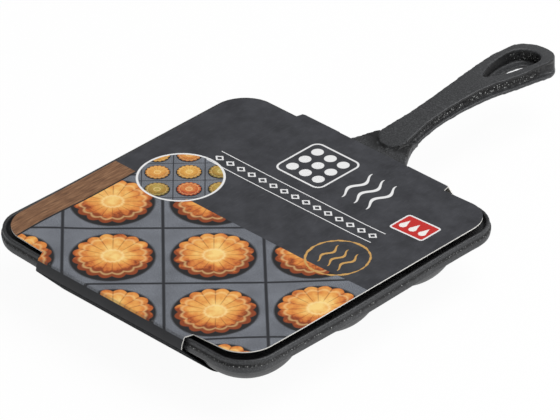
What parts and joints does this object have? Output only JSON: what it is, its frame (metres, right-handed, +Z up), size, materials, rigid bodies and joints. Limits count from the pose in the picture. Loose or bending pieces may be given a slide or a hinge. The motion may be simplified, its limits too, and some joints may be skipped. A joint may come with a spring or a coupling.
{
  "type": "takoyaki plate",
  "caption": "Square cast-iron plate with half-round cups and a cast handle, in a creased card sleeve that folds open over the cups.",
  "frame": {"origin": "middle of the flat stretch of the sleeve's under panel, on the table, under the middle cup", "axes": "+Y towards the handle's tip, +Z up out of the cups, +X to the right seen from the front edge"},
  "size_m": [0.1542, 0.2665, 0.0341],
  "materials": {
    "cast_iron": "sand-cast iron with a dark baked coating, smooth on the rim and the top of the handle, coarse in the handle's side channels",
    "printed_card": null,
    "plain_card": "dark printed outside, matt grey unprinted inside"
  },
  "bodies": {
    "plate_and_strap": {"cast_iron_plate": "cast_iron", "sleeve_under_panel": "plain_card", "sleeve_glue_strip": "plain_card"},
    "front_wall": {"sleeve_front_wall": "printed_card"},
    "top_panel": {"sleeve_top_panel": "printed_card"},
    "rear_tab_left": {"sleeve_rear_tab_left": "printed_card"},
    "rear_tab_right": {"sleeve_rear_tab_right": "printed_card"}
  },
  "joints": [
    {"name": "front_wall_fold", "type": "hinge", "parent": "plate_and_strap", "child": "front_wall", "pos_m": [0, -0.0792, 0.0202], "axis": [1, 0, 0], "range_deg": [0, 45]},
    {"name": "top_panel_fold", "type": "hinge", "parent": "front_wall", "child": "top_panel", "pos_m": [0, -0.0782, 0.0281], "axis": [1, 0, 0], "range_deg": [0, 120]},
    {"name": "rear_tab_left_fold", "type": "hinge", "parent": "top_panel", "child": "rear_tab_left", "pos_m": [0, 0.0779, 0.0281], "axis": [1, 0, 0], "range_deg": [0, 90]},
    {"name": "rear_tab_right_fold", "type": "hinge", "parent": "top_panel", "child": "rear_tab_right", "pos_m": [0, 0.0779, 0.0281], "axis": [1, 0, 0], "range_deg": [0, 90]}
  ]
}
